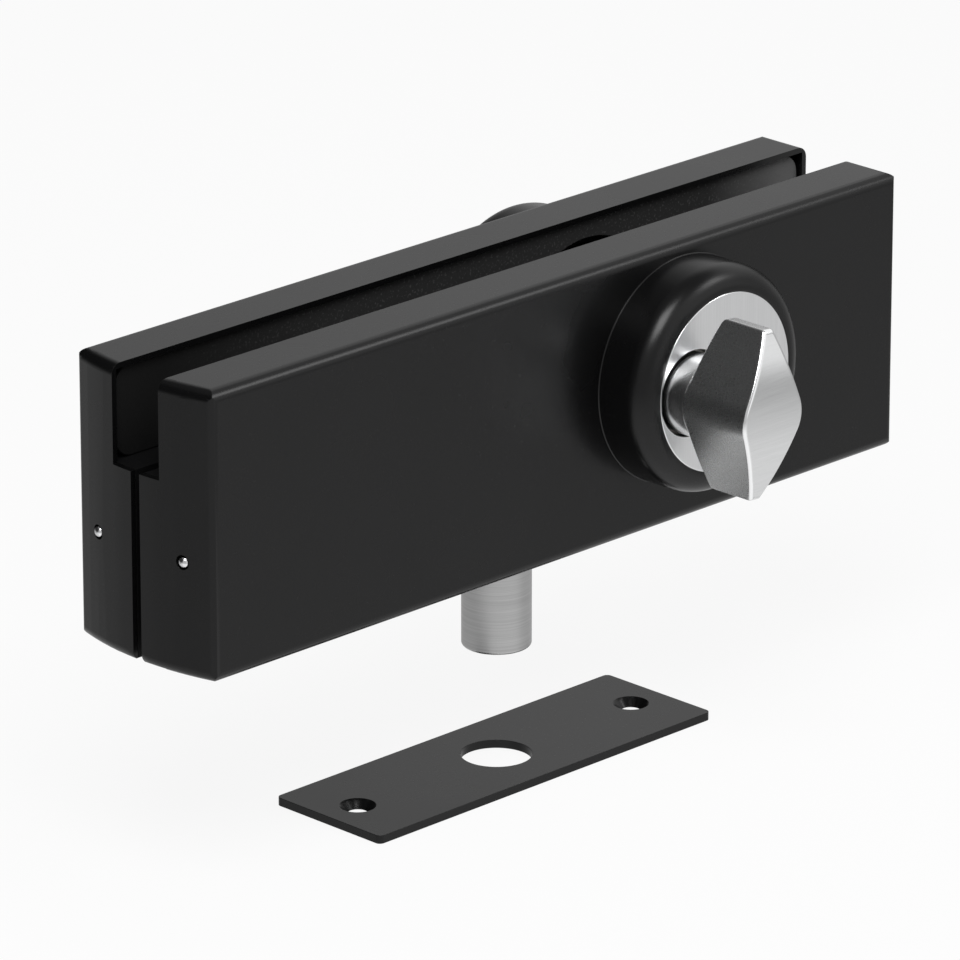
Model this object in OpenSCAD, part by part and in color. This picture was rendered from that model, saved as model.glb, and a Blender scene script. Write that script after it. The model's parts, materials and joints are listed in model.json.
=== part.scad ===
// Lock for the lower corner of a frameless glass door, with its floor strike plate.
// Two covered halves clamp the glass, a profile cylinder turns a cam, and the cam throws
// a round bolt downwards. X runs along the door, Y through it with the thumbturn at -Y,
// and Z is up. The origin lies on the bolt axis, where the edge of the glass rests.

/* [Lock body] */
// Distance from the bolt axis to the crown of the rounded end
round_end = 82.5; // [80:0.5:110]
// Distance from the bolt axis to the flat end
flat_end = 81.75; // [80:0.25:110]
// Thickness of the lock over its two covers
lock_w = 32; // [31:0.5:40]
// Height of the lock above the edge of the glass
slot_depth = 17; // [15.5:0.5:25]
// Height of the lock below the edge of the glass
lower_h = 33; // [33:0.5:40]
// Radius of the rounded end, seen from above
end_r = 55; // [45:1:80]
// Radius of the long edges and of the edges of the ends
edge_r = 2; // [1.5:0.1:2.5]
// Radius of the upright corners
corner_r = 1.5; // [1.3:0.1:2.5]
// Thickness of the cover sheet
cover_t = 1; // [0.8:0.1:1.2]

/* [Glass slot] */
// Clear width of the slot between the two covers
slot_w = 10.9; // [10.4:0.1:12]
// Gap between the two halves below the glass
half_gap = 2; // [1:0.1:3]
// Depth of the gaskets behind the rims of the covers
pad_recess = 1; // [0.8:0.1:1.4]
// Thickness of a gasket
pad_t = 1.5; // [1:0.1:2]
// Corner radius of a gasket
pad_corner = 3.5; // [1:0.5:5]
// Width of the open strip along the underside
under_w = 11.4; // [9:0.1:12]
// Depth of the open strip along the underside
under_d = 0.5; // [0.3:0.1:0.7]

/* [Rosettes] */
// Distance from the bolt axis to the centre of a rosette
rosette_x = 28; // [27:0.5:30]
// Diameter of a rosette
rosette_d = 39.8; // [39.6:0.2:44]
// Height of a rosette over its cover
rosette_h = 10.3; // [10:0.1:13]
// Radius of the rounded shoulder of a rosette
shoulder_r = 4; // [2:0.25:4]
// Flare at the foot of a rosette, where it meets its cover
foot_flare = 0.15; // [0.1:0.05:0.4]
// Outer diameter of the threaded neck of a rosette
spigot_d = 35.2; // [35:0.1:36]
// Diameter of the metal disc in a rosette
disc_d = 31.3; // [31:0.1:31.4]
// Thickness of the disc
disc_t = 1.2; // [0.8:0.1:1.4]
// Diameter of the hole in the disc
disc_hole_d = 15.1; // [14.9:0.05:15.3]

/* [Profile cylinder] */
// Distance from the bolt axis to the axis of the cylinder
cyl_x = 20.1; // [20:0.05:20.2]
// Depth of the cylinder axis below the edge of the glass
cyl_drop = 5.4; // [5:0.1:6]
// Diameter of the barrel
barrel_d = 17; // [16.8:0.1:17.2]
// Overall height of the profile
profile_h = 33; // [32.6:0.1:33]
// Width of the tail of the profile
tail_w = 10; // [9.6:0.1:10.4]
// Diameter of a plug
plug_d = 13; // [12.8:0.1:13.2]
// Diameter of the head of the key plug
plug_head_d = 14.1; // [13.6:0.1:14.3]
// Diameter of the pins
pin_d = 2.5; // [2.2:0.1:2.8]
// Distance from one pin to the next
pin_pitch = 3.2; // [3.1:0.1:3.5]
// Number of pins
pin_count = 5; // [3:1:5]
// Length of a key pin
key_pin_l = 4.5; // [4:0.1:4.6]
// Length of a driver pin
driver_l = 5.2; // [4.5:0.1:6]
// Length of a plug that closes a pin chamber
chamber_plug_l = 1.5; // [1:0.1:2]
// Height of the keyway
keyway_h = 10; // [9:0.1:10.4]
// Width of the keyway
keyway_w = 2.2; // [1.8:0.1:2.6]
// Diameter of the fixing screw of the cylinder
fixing_d = 5; // [4:0.5:5]
// Distance from the axis of the cylinder to its fixing screw
fixing_reach = 20; // [19.5:0.1:20.5]

/* [Cam and bolt] */
// Radius that the nose of the cam reaches
nose_r = 15; // [14.8:0.1:15.1]
// Thickness of the nose of the cam
nose_w = 5; // [4.5:0.1:5.2]
// Radius of the ring of the cam
hub_r = 8.4; // [8.2:0.1:8.6]
// Width of the cam along its axis
cam_w = 10; // [9.6:0.1:10]
// Turn of the cam while it drives the bolt, in degrees
turn_sweep = 84; // [80:1:84]
// Travel of the bolt
bolt_travel = 19; // [18:0.25:19]
// Length of bolt that stands out of the lock when it is thrown
bolt_out = 18.9; // [18:0.1:19]
// Diameter of the bolt
bolt_d = 12; // [11:0.1:12]
// Diameter of the stem of the bolt inside the carriage
stem_d = 7; // [6:0.5:7]

/* [Lock case] */
// Distance from the bolt axis to the end of the case beside the bolt
case_left = 13; // [12:0.5:16]
// Distance from the bolt axis to the end of the case beyond the cylinder
case_right = 50.5; // [50:0.5:53]
// Thickness of the plates of the case
case_t = 1.2; // [1:0.1:1.3]
// Thickness of the walls of the case
wall_t = 1.5; // [1.2:0.1:2]
// Thickness of the brake spring
spring_t = 0.4; // [0.3:0.05:0.6]

/* [Thumbturn] */
// Diameter of the neck of the thumbturn
neck_d = 14.1; // [13.6:0.1:14.3]
// Distance from the face of the rosette to the crown of the blade
blade_out = 18.6; // [17:0.1:24]
// Length of the blade from tip to tip
blade_l = 29.5; // [26:0.5:36]
// Width of the narrow tips of the blade
tip_w = 2.6; // [2:0.1:4]
// Corner radius of the tips
tip_r = 0.5; // [0.4:0.1:1]
// Radius of the crowned front of the blade
crown_r = 41; // [36:1:60]
// Distance from the face of the rosette to the back of the blade at the neck
blade_root = 4.4; // [4:0.1:7]
// Radius of the crowned back of the blade
back_r = 50; // [40:1:80]
// Radius of the rounded corners at the back of the tips
heel_r = 1.3; // [1:0.1:3]
// Tilt of the blade when the bolt is thrown, in degrees
blade_tilt = 5.5; // [0:0.1:10]

/* [Strike plate] */
// Length of the strike plate
strike_l = 80; // [78:0.5:120]
// Width of the strike plate
strike_w = 25; // [20:0.5:32]
// Thickness of the strike plate
strike_t = 1.5; // [1:0.1:3]
// Distance from the underside of the lock to the top of the strike plate
strike_drop = 39.05; // [30:0.05:60]
// Diameter of the hole for the bolt
strike_hole_d = 12.3; // [12.2:0.1:14]
// Distance between the two screw holes
strike_pitch = 66; // [40:0.5:68]
// Diameter of the screw holes
strike_screw_d = 3.5; // [3:0.1:4.5]
// Diameter of the countersinks
strike_csk_d = 6.3; // [6:0.1:8]
// Corner radius of the strike plate
strike_corner = 1; // [0.5:0.1:3]

/* [Fasteners and clearances] */
// Diameter of the screws that clamp the two halves
clamp_d = 6; // [5:0.5:6]
// Height of the heads of the clamping screws
clamp_head_h = 6; // [5:0.5:6]
// Depth of the clamping screws below the edge of the glass
clamp_drop = 16.5; // [14:0.5:18]
// Diameter of the holes in the ends of the covers
catch_hole_d = 2.5; // [2.4:0.1:3]
// Diameter of the ball noses that catch the covers
catch_ball_d = 2.1; // [1.8:0.1:2.1]
// How far a ball stands out of the end of the lock
catch_proud = 0.45; // [0.1:0.05:0.6]
// Distance of the ball catches from the mid plane
catch_y = 10; // [9:0.5:11]
// Depth of the ball catches below the edge of the glass
catch_drop = 13; // [8:0.5:20]
// Length of the body of a ball catch
catch_l = 6; // [4:0.5:8]
// Diameter of the screws of the case
case_screw_d = 2.5; // [2:0.5:2.5]
// Clearance of pieces that are fitted and don't move
fit = 0.1; // [0.05:0.05:0.15]
// Radial clearance of pieces that turn or slide in a bore
running = 0.06; // [0.04:0.01:0.1]
// Clearance beside flat moving faces
side_play = 0.15; // [0.1:0.05:0.2]

/* [Hidden] */
$fn = 96;

// Small step that carries a cut past a face
over = 1;
// Planes of the lock body
z_top = slot_depth;
z_bot = -lower_h;
lock_h = slot_depth + lower_h;
cover_y = lock_w / 2;
arc_x = end_r - round_end;
reach = round_end + flat_end;
// Faces in the glass slot
rim_y = slot_w / 2;
pad_y = rim_y + pad_recess;
seat_y = pad_y + pad_t;
inner_inset = cover_t + fit;
// Cylinder and rosette
cyl_z = -cyl_drop;
face_y = cover_y + rosette_h;
barrel_r = barrel_d / 2;
plug_r = plug_d / 2;
tail_end = profile_h - barrel_r;
lip_t = 1;
lip_w = 1.4;
cyl_end = face_y - disc_t - lip_t - fit;
cavity_r = profile_h / 2 + 0.3;
disc_y = face_y - disc_t;
plug_gap = 0.1;
// Cam zone
cam_y = cam_w / 2;
clip_t = 0.8;
clip_y = cam_y + fit;
slot_y = clip_y + clip_t + fit;
sweep_r = nose_r + 0.3;
tongue_w = 2.8;
tongue_l = 8;
clutch_y = 1.5;
ear_w = 2.8;
// Pins, as distances from the axis of the cylinder
pin_first = slot_y + 2.4;
key_pin_x = plug_r - 0.1 - key_pin_l;
driver_x = plug_r + running + 0.05;
spring_x = driver_x + driver_l + 0.05;
chamber_plug_x = tail_end - 0.7 - chamber_plug_l;
// Bolt, carriage and case
bolt_r = bolt_d / 2;
case_y = bolt_r + side_play;
plate_y = case_y + case_t;
pocket_y = plate_y + side_play;
case_z = z_bot + cover_t + fit;
case_top = -0.6;
edge_d = hub_r + 1.1;
arm_t = 3;
notch_play = 0.3;
notch_d = nose_r + 0.3;
carriage_x0 = -bolt_r - 0.5;
carriage_x1 = cyl_x - edge_d;
notch_z = cyl_z - bolt_travel / 2;
bolt_end = z_bot - bolt_out;
guide_x = bolt_r + 4;
guide_y = plate_y;
fixing_x = cyl_x + fixing_reach;
fixing_boss = 6;
fixing_head_h = 2.6;
post_r = 2.2;
post_in = wall_t + post_r - 0.3;
posts = [[guide_x + 4.5, case_z + 4.4], [case_right - post_in, case_z + 4.4],
         [case_right - post_in, case_top - 2.4], [-case_left + post_in, case_top - 2.4]];
// Clamping screws, as distances from the bolt axis
clamp_x = [-68, -44, -24, 62];
clamp_head_d = clamp_d * 1.6;
clamp_end = cover_y - cover_t - 2;
// Strike plate
strike_z = z_bot - strike_drop - strike_t;
// Thumbturn
neck_r = neck_d / 2;
tenon_r = 4;
tenon_l = 10;
crown_y = face_y + blade_out;
grub_y = face_y + 2.6;
grub_d = 3;
tip_steps = 6;
heel_lift = 0.05;

black = [0.16, 0.16, 0.165];
steel = [0.72, 0.73, 0.74];
zinc = [0.55, 0.56, 0.58];
brass_tone = [0.78, 0.66, 0.38];
rubber_tone = [0.07, 0.07, 0.07];

// Distance that the rounded end falls back from its crown at a distance y from the mid plane
function end_sag(y) = end_r - sqrt(end_r * end_r - y * y);
// Height of the carriage above its middle place at an angle t of the cam
function bolt_at(t) = bolt_travel * t / turn_sweep;
// Half heights that the notch of the carriage needs at its mouth and at its floor
function mouth_need(t) = nose_w / 2 / cos(t) + bolt_at(t) - edge_d * tan(t);
function floor_need(t) = nose_w / 2 * cos(t) + nose_r * sin(t) - bolt_at(t);
sweep_steps = [for (t = [0:turn_sweep / 42:turn_sweep / 2]) t];
mouth_h = max([for (t = sweep_steps) mouth_need(t)]) + notch_play;
floor_h = max([for (t = sweep_steps) floor_need(t)]) + notch_play;
carriage_z0 = notch_z - mouth_h - arm_t;
carriage_z1 = notch_z + mouth_h + arm_t;

// Turns a shape drawn along Z so that it runs outwards along Y
module along_y() {
    rotate([-90, 0, 0]) children();
}

// Turns a shape drawn in the plane of X and Z so that its extrusion runs along Y
module face_to_y(y0, y1) {
    translate([0, y1, 0]) rotate([90, 0, 0]) linear_extrude(y1 - y0) children();
}

// Turns a shape drawn in the plane of Y and Z so that its extrusion runs along X
module face_to_x(x0, x1) {
    translate([x0, 0, 0]) rotate([90, 0, 90]) linear_extrude(x1 - x0) children();
}

// Cylinder along Y round the axis of the profile cylinder
module on_axis(r, y0, y1) {
    translate([cyl_x, y0, cyl_z]) along_y() cylinder(r = r, h = y1 - y0);
}

// Outline of the lock from above, drawn in by the inset
module plan(inset) {
    r = max(corner_r - inset, 0.2);
    w = cover_y - inset;
    big = end_r - inset;
    x1 = flat_end - inset;
    y_c = w - r;
    x_c = arc_x - sqrt((big - r) * (big - r) - y_c * y_c);
    y_t = big * y_c / (big - r);
    intersection() {
        translate([arc_x, 0]) circle(big);
        translate([-round_end - over, -y_t]) square([round_end + over, 2 * y_t]);
    }
    translate([x_c, -w]) square([x1 - r - x_c, 2 * w]);
    translate([x_c, -y_c]) square([x1 - x_c, 2 * y_c]);
    for (s = [-1, 1]) {
        translate([x_c, s * y_c]) circle(r);
        translate([x1 - r, s * y_c]) circle(r);
    }
}

// Rectangle with round corners between two points
module round_box(p0, p1, r) {
    w = p1[0] - p0[0];
    h = p1[1] - p0[1];
    translate([p0[0] + r, p0[1]]) square([w - 2 * r, h]);
    translate([p0[0], p0[1] + r]) square([w, h - 2 * r]);
    for (x = [p0[0] + r, p1[0] - r])
        for (y = [p0[1] + r, p1[1] - r])
            translate([x, y]) circle(r);
}

// Whole outer form of the lock, with its rounded edges
module lock_form() {
    intersection() {
        translate([0, 0, z_bot]) linear_extrude(lock_h) plan(0);
        face_to_x(-round_end - over, flat_end + over)
            round_box([-cover_y, z_bot], [cover_y, z_top], edge_r);
        union() {
            translate([arc_x, 0, 0]) rotate_extrude() intersection() {
                round_box([-end_r, z_bot], [end_r, z_top], edge_r);
                translate([0, z_bot - over]) square([end_r + over, lock_h + 2 * over]);
            }
            face_to_y(-cover_y - over, cover_y + over) difference() {
                round_box([arc_x - edge_r * 2, z_bot], [flat_end, z_top], edge_r);
                translate([arc_x - edge_r * 3, z_bot - over]) square([edge_r * 3, lock_h + 2 * over]);
            }
        }
    }
}

// Space between two distances from the mid plane, on the side of +Y
module slab(y0, y1, z0, z1) {
    translate([-reach, y0, z0]) cube([2 * reach, y1 - y0, z1 - z0]);
}

// Holes in the ends for the ball catches
module catch_holes(d, depth) {
    for (s = [-1, 1]) {
        face = s > 0 ? flat_end : round_end - end_sag(catch_y);
        translate([s * (face - depth), catch_y, -catch_drop]) rotate([0, s * 90, 0])
            cylinder(d = d, h = depth + 3 * over);
    }
}

module cover_half() {
    difference() {
        lock_form();
        slab(-cover_y - over, half_gap / 2, z_bot - over, z_top + over);
        slab(-over, rim_y, 0, z_top + over);
        slab(-over, under_w / 2, z_bot - over, z_bot + under_d);
        translate([0, 0, z_bot + cover_t]) linear_extrude(lock_h - 2 * cover_t) plan(cover_t);
        intersection() {
            translate([0, 0, z_bot - over]) linear_extrude(2 * over + cover_t) plan(cover_t);
            slab(-over, under_w / 2, z_bot - over, z_bot + cover_t + over / 2);
        }
        translate([0, 0, z_bot - over]) cylinder(d = bolt_d + 1, h = over + cover_t + over / 2);
        translate([rosette_x, 0, cyl_z]) along_y() cylinder(d = spigot_d + 4 * fit, h = lock_w);
        catch_holes(catch_hole_d, 4 * cover_t);
    }
}

// Pocket for the lock case and the bolt guide, open to the underside and to the slot
module case_pocket() {
    translate([-case_left - side_play, -over, z_bot - over])
        cube([case_left + case_right + 2 * side_play, over + pocket_y, lower_h + 2 * over]);
}

module clamp_half(threaded) {
    difference() {
        union() {
            intersection() {
                translate([0, 0, z_bot + inner_inset]) linear_extrude(lock_h - 2 * inner_inset)
                    plan(inner_inset);
                slab(half_gap / 2, lock_w, z_bot - over, z_top + over);
            }
            intersection() {
                translate([0, 0, z_bot + under_d]) linear_extrude(inner_inset) plan(inner_inset);
                slab(half_gap / 2, under_w / 2 - fit, z_bot - over, z_top + over);
            }
        }
        slab(-over, seat_y, 0, z_top + over);
        case_pocket();
        translate([rosette_x, 0, cyl_z]) along_y() cylinder(d = spigot_d + fit, h = lock_w);
        catch_holes(catch_hole_d + 1 + fit, inner_inset + catch_l + 2 * fit);
        for (x = clamp_x) {
            translate([x, 0, -clamp_drop]) along_y()
                cylinder(d = clamp_d + (threaded ? 0.5 : 4) * fit, h = threaded ? clamp_end + over : lock_w);
            if (!threaded)
                translate([x, cover_y - inner_inset - clamp_head_h - fit, -clamp_drop]) along_y()
                    cylinder(d = clamp_head_d + 4 * fit, h = lock_w);
        }
    }
}

module gasket_half() {
    x0 = -round_end + cover_t + end_sag(seat_y) + 0.3;
    x1 = flat_end - cover_t - 0.3;
    difference() {
        face_to_y(pad_y, seat_y) round_box([x0, fit], [x1, z_top - inner_inset - fit], pad_corner);
        translate([rosette_x, 0, cyl_z]) along_y() cylinder(d = spigot_d + 4 * fit, h = lock_w);
    }
}

// Cup with a rounded shoulder, a seat for the disc and a neck that screws into the clamp body
module rosette_half() {
    r = rosette_d / 2;
    difference() {
        translate([rosette_x, 0, cyl_z]) along_y() rotate_extrude() difference() {
            union() {
                translate([0, pocket_y]) square([spigot_d / 2, face_y - pocket_y]);
                translate([0, cover_y]) square([r, rosette_h - shoulder_r]);
                polygon([[0, cover_y], [r + foot_flare, cover_y],
                         [r, cover_y + foot_flare], [0, cover_y + over]]);
                translate([0, cover_y]) square([r - shoulder_r, rosette_h]);
                translate([r - shoulder_r, face_y - shoulder_r]) circle(shoulder_r);
            }
            translate([-over, -over]) square([cavity_r + over, disc_y - lip_t + over]);
            translate([-over, 0]) square([disc_d / 2 - lip_w + over, face_y + over]);
            translate([-over, disc_y]) square([disc_d / 2 + fit / 2 + over, disc_t + over]);
            translate([-cavity_r * 2, -over]) square([cavity_r * 2, face_y + 2 * over]);
        }
        on_axis(disc_hole_d / 2, disc_y - lip_t - over, disc_y);
    }
}

module disc_half() {
    difference() {
        translate([rosette_x, disc_y, cyl_z]) along_y() cylinder(d = disc_d, h = disc_t);
        on_axis(disc_hole_d / 2, disc_y - over, face_y + over);
    }
}

// Section of the profile cylinder, with its tail towards +X
module profile(grow) {
    translate([cyl_x, cyl_z]) {
        circle(barrel_r + grow);
        translate([0, -tail_w / 2 - grow]) square([tail_end - tail_w / 2, tail_w + 2 * grow]);
        translate([tail_end - tail_w / 2, 0]) circle(tail_w / 2 + grow);
    }
}

// One shape at each pin, on its axis towards the tail
module at_pins(x) {
    for (i = [0:pin_count - 1])
        translate([cyl_x + x, pin_first + i * pin_pitch, cyl_z]) rotate([0, 90, 0]) children();
}

module front_cover() {
    color(black) mirror([0, 1, 0]) cover_half();
}

module back_cover() {
    color(black) cover_half();
}

module front_clamp_body() {
    color(zinc) mirror([0, 1, 0]) clamp_half(false);
}

module back_clamp_body() {
    color(zinc) clamp_half(true);
}

module front_gasket() {
    color(rubber_tone) mirror([0, 1, 0]) gasket_half();
}

module back_gasket() {
    color(rubber_tone) gasket_half();
}

// Socket head screws from the front half into the back half
module clamp_screws() {
    head_y = -cover_y + inner_inset + fit / 2;
    color(steel) for (x = clamp_x)
        translate([x, head_y, -clamp_drop]) along_y() difference() {
            union() {
                cylinder(d = clamp_head_d, h = clamp_head_h);
                cylinder(d = clamp_d, h = clamp_end - head_y);
            }
            translate([0, 0, -over]) cylinder(d = clamp_d, h = clamp_head_h / 2 + over, $fn = 6);
        }
}

// Spring plungers in the clamp bodies; their balls stand in the end holes of the covers
module cover_catches() {
    ball_r = catch_ball_d / 2;
    ball_z = inner_inset + catch_proud - ball_r;
    body_r = (catch_hole_d + 1) / 2;
    color(steel) for (s = [-1, 1]) for (end = [-1, 1]) {
        face = end > 0 ? flat_end : round_end - end_sag(catch_y);
        translate([end * (face - inner_inset), s * catch_y, -catch_drop]) rotate([0, end * 90, 0]) {
            translate([0, 0, -catch_l]) cylinder(r = body_r, h = catch_l - 0.3);
            translate([0, 0, -over]) cylinder(r = ball_r - 0.1, h = over + ball_z);
            translate([0, 0, ball_z]) sphere(ball_r);
        }
    }
}

module front_rosette() {
    color(black) mirror([0, 1, 0]) rosette_half();
}

module back_rosette() {
    color(black) rosette_half();
}

module front_disc() {
    color(steel) mirror([0, 1, 0]) disc_half();
}

module back_disc() {
    color(steel) disc_half();
}

module cylinder_body() {
    color(steel) difference() {
        face_to_y(-cyl_end, cyl_end) profile(0);
        on_axis(plug_r + running, -cyl_end - over, cyl_end + over);
        on_axis(sweep_r, -slot_y, slot_y);
        translate([fixing_x, 0, cyl_z - tail_w]) cylinder(d = fixing_d + fit, h = 2 * tail_w);
        at_pins(0) cylinder(d = pin_d + fit, h = tail_end + over);
    }
}

// Countersunk screw from the underside through the tail of the cylinder
module cylinder_screw() {
    tip = cyl_z + tail_w / 2 - 0.3;
    color(steel) translate([fixing_x, 0, case_z + 0.2]) difference() {
        union() {
            cylinder(d1 = fixing_d * 1.8, d2 = fixing_d, h = fixing_head_h);
            cylinder(d = fixing_d, h = tip - case_z - 0.2);
        }
        translate([0, 0, -over]) cylinder(d = fixing_d * 0.6, h = 1.5 + over, $fn = 6);
    }
}

module chamber_plugs() {
    color(brass_tone) at_pins(chamber_plug_x) cylinder(d = pin_d + fit / 2, h = chamber_plug_l);
}

module pin_springs() {
    color(steel) at_pins(spring_x) difference() {
        cylinder(d = pin_d - fit, h = chamber_plug_x - spring_x - 0.05);
        translate([0, 0, -over]) cylinder(d = pin_d * 0.64, h = tail_end);
    }
}

module driver_pins() {
    color(brass_tone) at_pins(driver_x) cylinder(d = pin_d, h = driver_l);
}

module key_pins() {
    nose = pin_d * 0.4;
    color(brass_tone) at_pins(key_pin_x) union() {
        translate([0, 0, nose]) cylinder(d = pin_d, h = key_pin_l - nose);
        cylinder(d1 = pin_d / 3, d2 = pin_d, h = nose);
    }
}

// Keyway with a ward on each side, its long side towards the pins
module keyway() {
    ward = keyway_w * 0.7;
    translate([-keyway_h * 0.52, -keyway_w / 2]) square([keyway_h, keyway_w]);
    translate([-keyway_h * 0.36, -keyway_w / 2 - ward / 2]) square([keyway_h / 5, keyway_w]);
    translate([keyway_h * 0.12, 0]) square([keyway_h / 5.5, keyway_w / 2 + ward / 2]);
}

module key_plug() {
    color(steel) difference() {
        union() {
            on_axis(plug_r, clutch_y + plug_gap, cyl_end + fit);
            on_axis(plug_head_d / 2, cyl_end + fit, face_y - 0.3);
        }
        face_to_y(slot_y + 1, face_y + over) translate([cyl_x, cyl_z]) keyway();
        at_pins(key_pin_x - over) cylinder(d = pin_d + fit, h = plug_r);
        clip_groove(1);
    }
}

// Groove for a circlip on one side of the cam
module clip_groove(side) {
    y0 = side > 0 ? clip_y - fit / 2 : -clip_y - clip_t - fit / 2;
    difference() {
        on_axis(plug_r + over, y0, y0 + clip_t + fit);
        on_axis(plug_r - 0.7, y0 - over, y0 + clip_t + over + fit);
    }
}

// Open spring ring beside the cam
module circlip(side) {
    y0 = side > 0 ? clip_y : -clip_y - clip_t;
    difference() {
        on_axis(plug_r + 1.3, y0, y0 + clip_t);
        on_axis(plug_r - 0.65, y0 - over, y0 + clip_t + over);
        translate([cyl_x, y0 - over, cyl_z - 2]) cube([plug_d, clip_t + 2 * over, 4]);
    }
}

module key_circlip() {
    color(zinc) circlip(1);
}

module turn_circlip() {
    color(zinc) circlip(-1);
}

// Plug behind the thumbturn, with a tongue for the clutch and a tenon for the neck
module turn_plug() {
    color(steel) difference() {
        union() {
            on_axis(plug_r, -cyl_end, -clutch_y - plug_gap);
            on_axis(tenon_r, -cyl_end - tenon_l, -cyl_end);
            translate([cyl_x - tongue_l / 2, -clutch_y - over, cyl_z - tongue_w / 2])
                cube([tongue_l, over + clutch_y - plug_gap, tongue_w]);
        }
        clip_groove(-1);
    }
}

// Dog between the plugs, driven by the tongue of the turn plug, with an ear in the cam
module clutch() {
    color(zinc) difference() {
        union() {
            on_axis(plug_r - fit, -clutch_y, clutch_y);
            translate([cyl_x - ear_w / 2, -clutch_y, cyl_z]) cube([ear_w, 2 * clutch_y, plug_r + 0.7]);
        }
        translate([cyl_x - tongue_l / 2 - fit, -clutch_y - over, cyl_z - tongue_w / 2 - fit])
            cube([tongue_l + 2 * fit, over + clutch_y, tongue_w + 2 * fit]);
    }
}

// Ring with one nose, which points down and towards the bolt when the bolt is thrown
module cam() {
    round_r = 0.8;
    color(steel) difference() {
        face_to_y(-cam_y, cam_y) translate([cyl_x, cyl_z]) {
            circle(hub_r);
            rotate(turn_sweep / 2) {
                translate([-nose_r + round_r, -nose_w / 2]) square([nose_r - round_r, nose_w]);
                translate([-nose_r, -nose_w / 2 + round_r]) square([nose_r, nose_w - 2 * round_r]);
                for (s = [-1, 1])
                    translate([-nose_r + round_r, s * (nose_w / 2 - round_r)]) circle(round_r);
            }
        }
        on_axis(plug_r + fit, -cam_y - over, cam_y + over);
        translate([cyl_x - ear_w / 2 - fit, -cam_y - over, cyl_z])
            cube([ear_w + 2 * fit, 2 * cam_y + 2 * over, plug_r + 0.8]);
    }
}

// Blade seen from the front: the circle of the neck with straight flanks to two narrow tips
module blade_front() {
    a = tip_w / 2 - tip_r;
    h = blade_l / 2 - tip_r;
    flank_r = neck_r - 0.05;
    lean = atan2(h, -a) + acos((flank_r - tip_r) / sqrt(a * a + h * h));
    turns = [for (i = [0:tip_steps]) lean + (90 - lean) * i / tip_steps];
    left = [for (t = turns) [-a + tip_r * cos(t), h + tip_r * sin(t)]];
    right = [for (i = [tip_steps:-1:0]) [-left[i][0], left[i][1]]];
    foot = flank_r * [cos(lean), sin(lean)];
    circle(neck_r);
    for (s = [0, 180])
        rotate(s) polygon(concat([foot], left, right, [[-foot[0], foot[1]]]));
}

// Blade seen from the side: a crowned front and back, with round heels where the back ends
module blade_side() {
    root = face_y + blade_root;
    heel_z = blade_l / 2 + heel_lift - heel_r;
    reach = back_r - heel_r + heel_lift;
    turn = asin(heel_z / reach);
    heel_y = root + back_r - reach * cos(turn);
    turns = [for (i = [0:tip_steps]) turn + (90 - turn) * i / tip_steps];
    heel = [for (t = turns) [-heel_y + heel_r * cos(t), heel_z + heel_r * sin(t)]];
    foot = [heel[0][0] + (heel[0][1] + over) * tan(turn), -over];
    front = -crown_y - over;
    intersection() {
        translate([-crown_y + crown_r, 0]) circle(crown_r);
        translate([-root - back_r, 0]) circle(back_r);
        for (s = [0, 1]) mirror([0, s])
            polygon(concat([[front, -over], foot], heel, [[front, heel_z + heel_r]]));
    }
}

module thumbturn() {
    color(steel) translate([cyl_x, 0, cyl_z]) rotate([0, blade_tilt, 0]) difference() {
        union() {
            intersection() {
                face_to_y(-crown_y - over, -face_y) blade_front();
                face_to_x(-neck_d, neck_d) blade_side();
            }
            translate([0, -crown_y + 4, 0]) along_y() cylinder(r = neck_r, h = crown_y - 4 - cyl_end - fit);
        }
        translate([0, -cyl_end - tenon_l - 0.3, 0]) along_y()
            cylinder(r = tenon_r + fit / 2, h = tenon_l + over);
        translate([0, -grub_y, -neck_r - over])
            cylinder(d = grub_d + fit / 2, h = neck_r + over - tenon_r / 2);
    }
}

// Screw that fixes the neck of the thumbturn on the tenon, in the underside
module turn_grub_screw() {
    color(steel) translate([cyl_x, 0, cyl_z]) rotate([0, blade_tilt, 0])
        translate([0, -grub_y, -neck_r + 0.4]) difference() {
            cylinder(d = grub_d, h = neck_r - tenon_r - 0.45);
            translate([0, 0, -over]) cylinder(d = grub_d / 2, h = over + 1, $fn = 6);
        }
}

module bolt() {
    chamfer = 0.4;
    top = carriage_z0 - 0.1;
    color(steel) difference() {
        union() {
            translate([0, 0, bolt_end]) cylinder(r1 = bolt_r - chamfer, r2 = bolt_r, h = chamfer);
            translate([0, 0, bolt_end + chamfer]) cylinder(r = bolt_r, h = top - bolt_end - chamfer);
            translate([0, 0, top]) cylinder(d = stem_d, h = carriage_z1 - top - 2);
        }
        bolt_pin_hole();
    }
}

module bolt_pin_hole() {
    translate([0, -case_y, notch_z]) along_y() cylinder(d = 3 + fit / 2, h = 2 * case_y);
}

// Block that the nose of the cam lifts and lowers
module bolt_carriage() {
    y = case_y - side_play;
    color(zinc) difference() {
        translate([carriage_x0, -y, carriage_z0])
            cube([carriage_x1 - carriage_x0, 2 * y, carriage_z1 - carriage_z0]);
        face_to_y(-y - over, y + over) polygon([
            [carriage_x1 + over, notch_z - mouth_h], [carriage_x1, notch_z - mouth_h],
            [cyl_x - notch_d, notch_z - floor_h], [cyl_x - notch_d, notch_z + floor_h],
            [carriage_x1, notch_z + mouth_h], [carriage_x1 + over, notch_z + mouth_h]]);
        translate([0, 0, carriage_z0 - over])
            cylinder(d = stem_d + fit / 2, h = carriage_z1 - carriage_z0 - 2 + over);
        bolt_pin_hole();
    }
}

module bolt_pin() {
    y = case_y - side_play - 0.1;
    color(zinc) translate([0, -y, notch_z]) along_y() cylinder(d = 3, h = 2 * y);
}

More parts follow.
